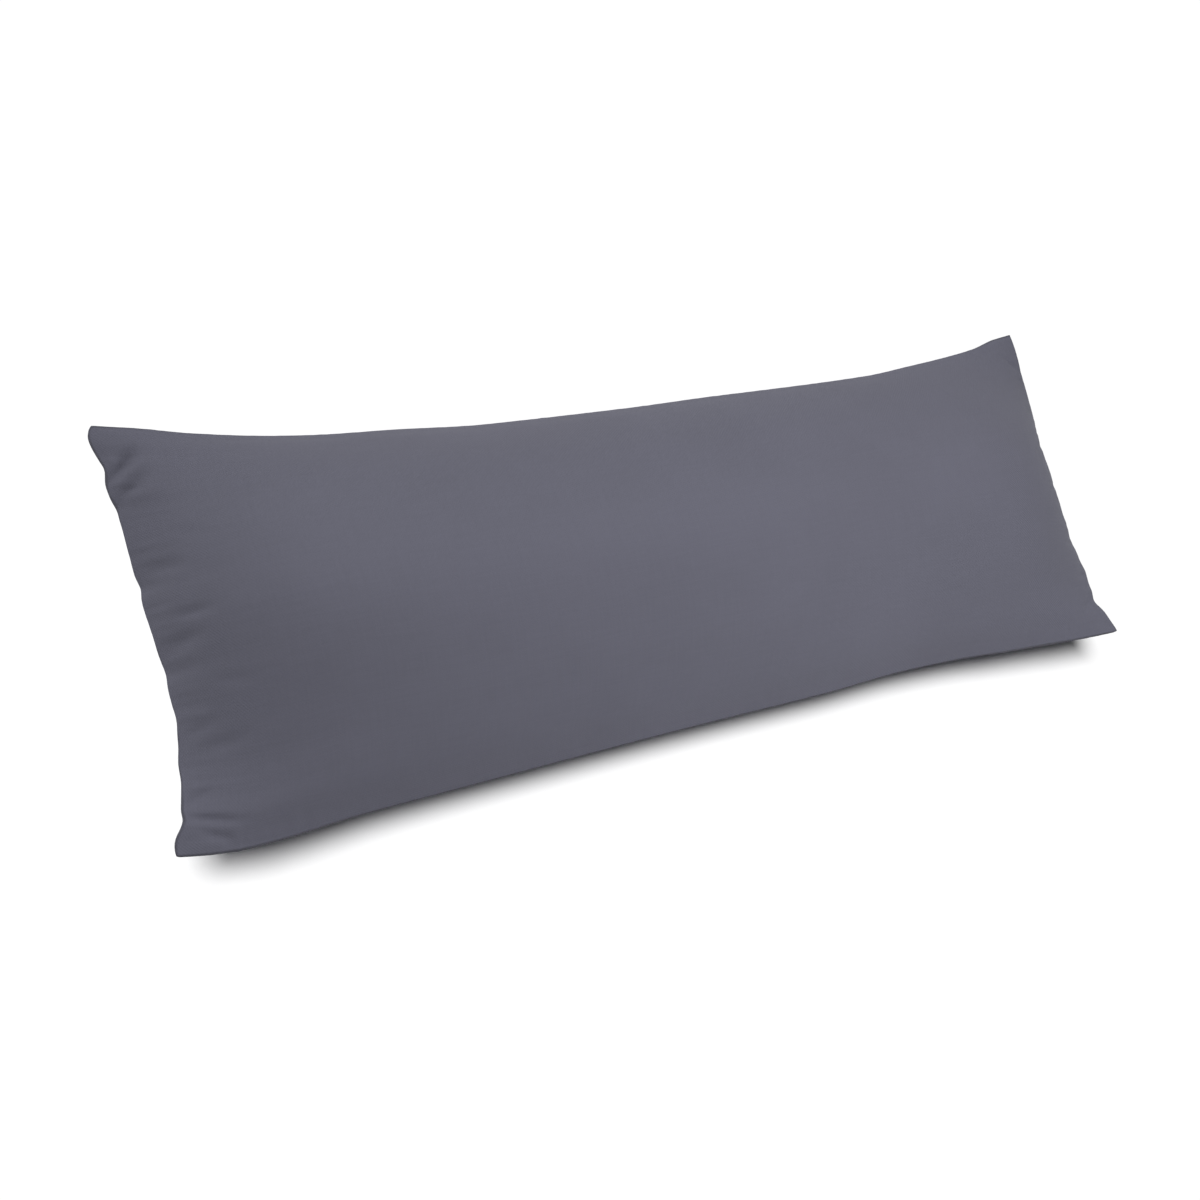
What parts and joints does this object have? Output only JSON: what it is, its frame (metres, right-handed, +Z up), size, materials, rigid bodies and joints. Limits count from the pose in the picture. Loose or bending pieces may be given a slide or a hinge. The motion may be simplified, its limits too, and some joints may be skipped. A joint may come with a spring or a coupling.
{
  "type": "lumbar pillow",
  "caption": "Long filled cushion lying on its back panel: knife-edge seam all round, crowned front, drawn-in sides, pointed ears and gathered short ends.",
  "frame": {"origin": "on the surface that the pillow rests on, under the middle of its box", "axes": "+X along the pillow, +Y across it, +Z up out of its front panel"},
  "size_m": [0.9044, 0.3314, 0.1432],
  "materials": {
    "cover_cloth": "plain close weave, dyed slate violet-grey, matt"
  },
  "bodies": {
    "root": {"pillow": "cover_cloth"}
  },
  "joints": []
}
